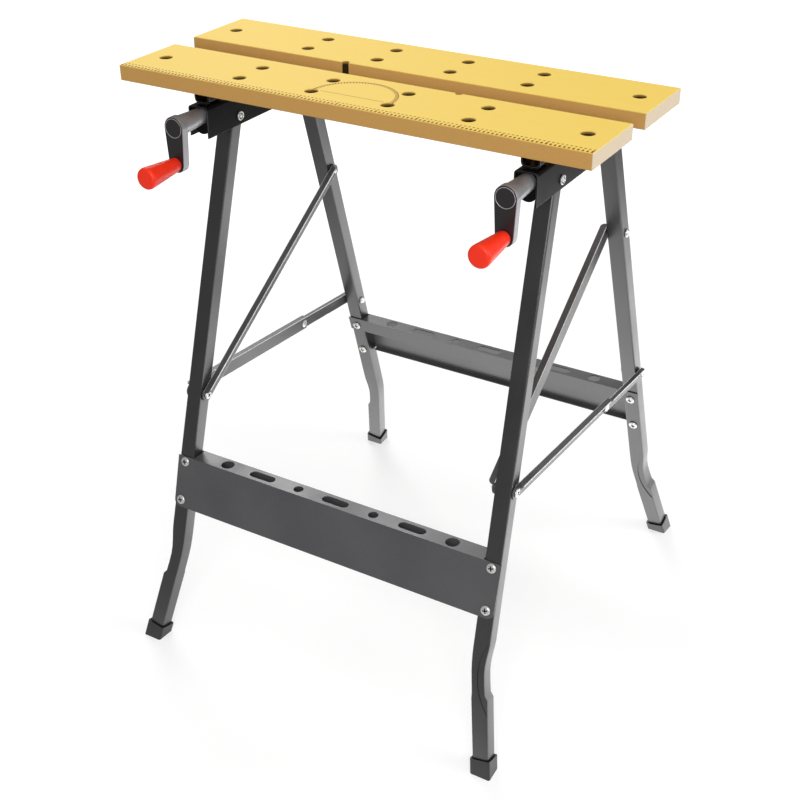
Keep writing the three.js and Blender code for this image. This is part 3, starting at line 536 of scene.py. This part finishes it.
# moves a piece made along +Z to a place and a direction, and freezes that in its mesh
def aim(piece, place, direction, spin=0.0, scale=1.0):
    selectOnly(piece)
    piece.rotation_mode = "QUATERNION"
    turn = Vector((0, 0, 1)).rotation_difference(Vector(direction))
    piece.matrix_world = (Matrix.Translation(place) @ turn.to_matrix().to_4x4()
                          @ Matrix.Rotation(math.radians(spin), 4, "Z") @ Matrix.Scale(scale, 4))
    bpy.ops.object.transform_apply(location=True, rotation=True, scale=True)
    return piece


def joinPieces(name, pieces):
    bpy.ops.object.select_all(action="DESELECT")
    for piece in pieces:
        piece.select_set(True)
    bpy.context.view_layer.objects.active = pieces[0]
    bpy.ops.object.join()
    whole = bpy.context.object
    whole.name = whole.data.name = name
    return whole


def discard(piece):
    bpy.data.meshes.remove(piece.data)


# pan head screw: domed head on a shank, with a cross recess cut by two crossed blades and coloured near black
# as painted shade
screwSet = {"head": [(2.9, -21), (2.9, -0.05), (5.8, -0.05), (6.2, 0.2), (6.3, 0.7), (6.15, 1.25), (5.6, 1.8),
                     (4.6, 2.25), (3.2, 2.5), (1.5, 2.6), (0.3, 2.62)],
            "slotLong": 6.6, "slotWide": 1.7, "slotDeep": 1.5, "top": 2.65, "smooth": 35}


def makeScrew(spec):
    screw = turnPiece("panScrew", spec["head"])
    screw.data.materials.append(finishes["zinc"])
    middle = (0, 0, spec["top"] * mm)
    long, wide, high = spec["slotLong"], spec["slotWide"], spec["slotDeep"] * 2
    for size in ((wide, long, high), (long, wide, high)):
        bpy.ops.object.select_all(action="DESELECT")
        bpy.ops.mesh.primitive_cube_add(size=mm, location=middle)
        blade = bpy.context.object
        startEdit()
        bpy.ops.transform.resize(value=size, center_override=middle)
        endEdit()
        blade.data.materials.append(finishes["recessShade"])
        selectOnly(screw)
        bpy.ops.object.modifier_add(type="BOOLEAN")
        cut = screw.modifiers[-1]
        cut.operation, cut.object, cut.solver, cut.material_mode = "DIFFERENCE", blade, "EXACT", "TRANSFER"
        bpy.ops.object.modifier_apply(modifier=cut.name)
        discard(blade)
    selectOnly(screw)
    bpy.ops.object.shade_smooth_by_angle(angle=math.radians(spec["smooth"]))
    return screw


# hexagon nut with a turned chamfer and the screw's end showing in it
nutSet = {"hexagon": [(5.0, 0), (5.55, 0.12), (5.55, 2.0), (5.0, 2.35), (3.4, 2.4)], "sides": 6, "smooth": 20,
          "tip": [(2.9, 0.1), (2.9, 2.3), (2.6, 2.6), (0.4, 2.62)], "tipSides": 24}


def makeNut(spec):
    nut = turnPiece("hexNut", spec["hexagon"], spec["sides"], spec["smooth"])
    tip = turnPiece("nutTip", spec["tip"], spec["tipSides"])
    nut = joinPieces("hexNut", [nut, tip])
    nut.data.materials.append(finishes["zinc"])
    return nut


# rolled pivot rivet: a bright rim, a groove inside it coloured near black as painted shade, and the domed end
# of the pin
rimSet = {"rim": [(3.4, -0.3), (5.3, -0.3), (5.7, 0.1), (5.8, 0.9), (5.5, 1.7), (4.9, 2.1), (4.3, 1.9),
                  (3.9, 1.2), (3.8, 0.4), (3.4, 0.3)],
          "groove": [(4.2, 0.0), (4.2, 0.55), (2.4, 0.55)],
          "pin": [(2.5, 0.0), (2.5, 1.2), (2.1, 1.7), (1.3, 2.0), (0.3, 2.05)]}


def makeRim(spec):
    parts = []
    for name, finish in (("rim", "zinc"), ("groove", "recessShade"), ("pin", "zinc")):
        part = turnPiece(name, spec[name])
        part.data.materials.append(finishes[finish])
        parts.append(part)
    return joinPieces("rolledRivet", parts)


# domed rivet head
domeSet = {"rings": [(2.8, -0.6), (5.6, -0.6), (5.9, 0.1), (5.85, 0.8), (5.4, 1.5), (4.5, 2.1), (3.0, 2.55),
                     (1.3, 2.7), (0.3, 2.72)]}


def makeDome(spec):
    dome = turnPiece("domeRivet", spec["rings"])
    dome.data.materials.append(finishes["zinc"])
    return dome


screw, nut, rim, dome = makeScrew(screwSet), makeNut(nutSet), makeRim(rimSet), makeDome(domeSet)

# bolts that run along X, their heads on the seats of the CAD bolt's heads
crossSet = {"headMm": 3.2, "screwScale": 0.95, "nutScale": 1.05, "pinRadius": 2.9, "rightSpin": 25,
            "leftSpin": 10}


def crossBolt(node, rightEnd, leftEnd, rightScale=1.0, leftScale=1.0):
    spec = crossSet
    low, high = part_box(node)
    y, z = (low.y + high.y) / 2, (low.z + high.z) / 2
    rightSeat, leftSeat = high.x - spec["headMm"] * mm, low.x + spec["headMm"] * mm
    rings = [(spec["pinRadius"], 0), (spec["pinRadius"], (rightSeat - leftSeat) / mm)]
    pin = turnPiece(node + "_pin", rings)
    pin.data.materials.append(finishes["zinc"])
    rightEnd, leftEnd = copyPiece(rightEnd, node + "_right"), copyPiece(leftEnd, node + "_left")
    parts = [aim(rightEnd, (rightSeat, y, z), (1, 0, 0), spec["rightSpin"], rightScale),
             aim(leftEnd, (leftSeat, y, z), (-1, 0, 0), spec["leftSpin"], leftScale),
             aim(pin, (leftSeat, y, z), (1, 0, 0))]
    settle(joinPieces(node + "_fitted", parts), None, [node])


for side in ("left", "right"):
    for name in ("front_pivot_bolt", "rear_pivot_bolt"):
        crossBolt(f"{side}_{name}", rim, rim)
    crossBolt(f"{side}_stay_bolt", screw, nut, crossSet["screwScale"], crossSet["nutScale"])
    for name in ("upper_stay_anchor", "lower_stay_anchor", "knuckle_rivet"):
        dressNode(f"{side}_{name}", finishes["zinc"], skinSet["rivet"])

# bright domes over the stays' own rivet heads, on the inner side above and the outer side below
capSet = {"upperMm": 3.5, "lowerMm": 4.8}
for side, way in (("left", -1), ("right", 1)):
    low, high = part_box(f"{side}_upper_stay_anchor")
    inner = low.x if way > 0 else high.x
    place = (inner - way * capSet["upperMm"] * mm, (low.y + high.y) / 2, (low.z + high.z) / 2)
    cap = aim(copyPiece(dome, f"{side}_upper_stay_cap"), place, (-way, 0, 0))
    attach(cap, "upper_stays")
    low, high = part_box(f"{side}_lower_stay_anchor")
    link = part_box(f"{side}_lower_stay_rear")
    outer = link[1].x if way > 0 else link[0].x
    place = (outer - way * capSet["lowerMm"] * mm, (low.y + high.y) / 2, (low.z + high.z) / 2)
    cap = aim(copyPiece(dome, f"{side}_lower_stay_cap"), place, (way, 0, 0))
    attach(cap, "lower_rear_links")

# rail screws lean with their leg frame; every head faces the front, as in the photograph
railScrewSet = {"front": {"lean": 15.5, "way": (-1, 1), "upper": (11.8, 11.8), "lower": (11.8, 10.3)},
                "rear": {"lean": 18.5, "way": (-1, -1), "upper": (11.8, 11.8), "lower": (10.3, 11.8)}}
railEndSet = {"headSpin": 15, "nutSpin": 20, "nutScale": 1.1}
for end, spec in railScrewSet.items():
    lean = math.radians(spec["lean"])
    headWay = Vector((0, spec["way"][0] * math.cos(lean), spec["way"][1] * math.sin(lean)))
    for side in ("left", "right"):
        for level in ("upper", "lower"):
            node = f"{end}_{side}_rail_screw_{level}"
            low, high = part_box(node)
            toHead, toNut = spec[level]
            middle = (low + high) / 2 - headWay * (toHead - toNut) / 2 * mm
            head, back = copyPiece(screw, node + "_head"), copyPiece(nut, node + "_nut")
            aim(head, middle + headWay * toHead * mm, headWay, railEndSet["headSpin"])
            aim(back, middle - headWay * toNut * mm, -headWay, railEndSet["nutSpin"], railEndSet["nutScale"])
            settle(joinPieces(node + "_fitted", [head, back]), None, [node])
for piece in (screw, nut, rim, dome):
    discard(piece)
print("fasteners fitted")


# lead screw: a turned spindle with a collar, and a rolled thread run round it
# the thread's profile is (share of its depth, share of its pitch), step by step
spindleSet = {"shaft": 6.0, "shaftEdge": 0.6, "collar": 9.5, "collarLong": 6.0, "collarEdge": 0.4,
              "collarGap": 0.3, "tip": 1.6, "tipEdge": 1.2, "root": 4.8, "crest": 6.0, "pitch": 5.0,
              "profile": [(0, 0.22), (0.85, 0.16), (0.15, 0.05), (0, 0.20), (-0.15, 0.05), (-0.85, 0.16),
                          (0, 0.16)],
              "runIn": 1.0, "steps": 28, "merge": 0.005, "smooth": 35}


def makeThread(spec, longMm):
    bpy.ops.object.select_all(action="DESELECT")
    bpy.ops.mesh.primitive_plane_add(size=mm)
    thread = bpy.context.object
    startEdit()
    bpy.ops.mesh.merge(type="CENTER")
    bpy.ops.transform.translate(value=(spec["root"] * mm, 0, 0))
    rise, pitch = spec["crest"] - spec["root"], spec["pitch"]
    for out, up in spec["profile"]:
        step = (rise * out * mm, 0, up * pitch * mm)
        bpy.ops.mesh.extrude_region_move(TRANSFORM_OT_translate={"value": step})
    endEdit()
    bpy.ops.object.modifier_add(type="SCREW")
    coil = thread.modifiers[-1]
    coil.axis, coil.angle, coil.screw_offset = "Z", 2 * math.pi, pitch * mm
    coil.iterations = int(longMm / pitch)
    coil.steps = coil.render_steps = spec["steps"]
    coil.use_merge_vertices, coil.merge_threshold = True, spec["merge"] * mm
    bpy.ops.object.modifier_apply(modifier=coil.name)
    startEdit()
    bpy.ops.mesh.remove_doubles(threshold=spec["merge"] * mm)
    bpy.ops.mesh.fill_holes(sides=0)
    bpy.ops.mesh.normals_make_consistent(inside=False)
    endEdit()
    bpy.ops.object.shade_smooth_by_angle(angle=math.radians(spec["smooth"]))
    return thread


for side in ("left", "right"):
    node, spec = f"{side}_lead_screw", spindleSet
    low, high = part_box(node)
    x, z = (low.x + high.x) / 2, (low.z + high.z) / 2
    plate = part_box(f"{side}_bearing_plate")
    # the collar bears on the back of the plate
    collar = (plate[1].y - low.y) / mm + spec["collarGap"]
    start = collar + spec["collarLong"]
    long = (high.y - low.y) / mm
    shaft, wide, root, edge = spec["shaft"], spec["collar"], spec["root"], spec["collarEdge"]
    rings = [(shaft - spec["shaftEdge"], 0), (shaft, spec["shaftEdge"]), (shaft, collar),
             (wide - edge, collar), (wide, collar + edge), (wide, start - edge), (wide - edge, start),
             (root, start), (root, long - spec["tip"]), (root - spec["tipEdge"], long)]
    spindle = turnPiece(node + "_spindle", rings)
    thread = makeThread(spec, long - spec["tip"] - start)
    aim(thread, (0, 0, (start - spec["runIn"]) * mm), (0, 0, 1))
    whole = joinPieces(node + "_threaded", [spindle, thread])
    aim(whole, (x, low.y, z), (0, 1, 0))
    settle(whole, finishes[slotOf[node]], [node])
print("lead screws threaded")


# crank: the cast shape, with a bright zinc ring set in the groove of the arm's head as a painted highlight
# along the hub's edge
highlightRing = {"outer": 11.7, "inner": 11.15, "rise": 0.25, "seat": -0.4, "close": 0.01, "headRadius": 13.5}
for side in ("left", "right"):
    crank = dressNode(f"{side}_crank", finishes["crank_metal"], skinSet["crank"])
    low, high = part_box(f"{side}_crank")
    outer, inner, rise, seat = (highlightRing[key] for key in ("outer", "inner", "rise", "seat"))
    rings = [(inner, seat), (outer, seat), (outer, rise / 2), ((outer + inner) / 2, rise), (inner, rise / 2),
             (inner - highlightRing["close"], seat)]
    ring = turnPiece(f"{side}_hubHighlightRing", rings)
    aim(ring, ((low.x + high.x) / 2, low.y, high.z - highlightRing["headRadius"] * mm), (0, -1, 0))
    ring.data.materials.append(finishes["zinc"])
    joinPieces(crank.name, [crank, ring])
print("cranks dressed")


# grip: a moulded handle that swells towards its free end, bored for its pin
# its side is (share of its length, share of the radius there)
gripShape = {"bore": 3.2, "boreDeep": 49.0, "mouthDeep": 0.3, "mouthWide": 0.4, "neck": 8.5, "swell": 13.2,
             "swellEnd": 0.9, "endRings": (4.0, 0.4), "sides": 56,
             "side": [(0.0, 0.90), (0.012, 0.97), (0.03, 1.0), (0.20, 1.0), (0.86, 1.0), (0.93, 1.0),
                      (0.965, 0.975), (0.985, 0.91), (0.997, 0.80), (1.0, 0.66)]}
for side in ("left", "right"):
    node, spec = f"{side}_grip", gripShape
    low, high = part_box(node)
    long = (high.y - low.y) / mm
    bore = spec["bore"]
    rings = [(bore, spec["boreDeep"]), (bore, spec["mouthDeep"]), (bore + spec["mouthWide"], 0)]
    for part, share in spec["side"]:
        full = spec["neck"] + (spec["swell"] - spec["neck"]) * min(1, part / spec["swellEnd"])
        rings.append((full * share, part * long))
    rings += [(radius, long) for radius in spec["endRings"]]
    grip = turnPiece(node + "_moulded", rings, spec["sides"])
    aim(grip, ((low.x + high.x) / 2, high.y, (low.z + high.z) / 2), (0, -1, 0))
    settle(grip, finishes["grip"], [node])
    dressNode(f"{side}_grip_pin", finishes["zinc"], skinSet["grip_pin"])
print("grips made")


# plain pale floor and soft studio light, and a glowing patch on the floor seen only in reflections, a painted
# reflection; each lamp is name, place, target, size in metres and power
stageSet = {"floor": 14.0, "floorColour": "#B8B8B8", "floorRough": 0.9, "white": "#FFFFFF",
            "glow": (0.58, 1.0), "glowFade": (1.0, 3.0),
            "paintedReflection": (2.0, 0.05), "paintedReflectionFade": (0.65, 1.3), "paintedReflectionPlace": (0.30, 0.65, 0), "surround": 0.34,
            "lamps": [("backLeftTop", (-1.5, 1.5, 2.1), (0, 0, 0.5), 1.3, 30),
                      ("overhead", (0.5, -0.3, 3.2), (0, 0, 0.5), 2.2, 12),
                      ("rightSide", (2.5, 0.6, 1.3), (0, 0, 0.4), 1.8, 27),
                      ("fillFront", (1.6, -3.0, 2.0), (0, 0, 0.5), 2.0, 67)]}


# one where the camera looks straight or through glass, none in reflections and bounced light
def seenPlain(tree, rays):
    return calc(tree, "MAXIMUM", rays["Is Camera Ray"], rays["Is Transmission Ray"])


def setStage(spec):
    bpy.ops.object.select_all(action="DESELECT")
    bpy.ops.mesh.primitive_plane_add(size=spec["floor"], location=(0, 0, 0))
    floor = bpy.context.object
    floor.name = "paleFloor"
    paper, tree, shader = startFinish("mattPaper")
    rays = addNode(tree, "LightPath")
    spot = addNode(tree, "TexCoord")["Object"]
    away = addNode(tree, "VectorMath", {"operation": "LENGTH", 0: spot})[1]
    glow = span(tree, away, spec["glowFade"], spec["glow"])
    # a patch behind and right of the object glows for glossy rays only: painted reflection that brightens the
    # right faces of the legs and rails
    away = addNode(tree, "VectorMath", {"operation": "DISTANCE", 0: spot, 1: spec["paintedReflectionPlace"]})[1]
    paintedReflection = span(tree, away, spec["paintedReflectionFade"], spec["paintedReflection"])
    glow = calc(tree, "MULTIPLY", seenPlain(tree, rays), glow)
    glow = calc(tree, "MULTIPLY_ADD", rays["Is Glossy Ray"], paintedReflection, glow)
    shader.inputs["Base Color"].default_value = linear(spec["floorColour"])
    shader.inputs["Roughness"].default_value = spec["floorRough"]
    shader.inputs["Specular IOR Level"].default_value = 0.0
    shader.inputs["Emission Color"].default_value = linear(spec["white"])
    tree.links.new(glow, shader.inputs["Emission Strength"])
    floor.data.materials.append(paper)
    for name, place, target, size, power in spec["lamps"]:
        bpy.ops.object.light_add(type="AREA", location=place)
        lamp = bpy.context.object
        lamp.name = name
        lamp.data.shape, lamp.data.size, lamp.data.energy = "DISK", size, power
        lamp.data.color = linear(spec["white"])[:3]
        lamp.rotation_mode = "QUATERNION"
        lamp.rotation_quaternion = (Vector(target) - Vector(place)).to_track_quat("-Z", "Y")
    world = bpy.data.worlds.new("studio")
    world.use_nodes = True
    scene.world = world
    sky = world.node_tree
    level = span(sky, seenPlain(sky, addNode(sky, "LightPath")), (0.0, 1.0), (spec["surround"], 1.0))
    back = sky.nodes["Background"]
    back.inputs["Color"].default_value = linear(spec["white"])
    sky.links.new(level, back.inputs["Strength"])


setStage(stageSet)
print("stage set")
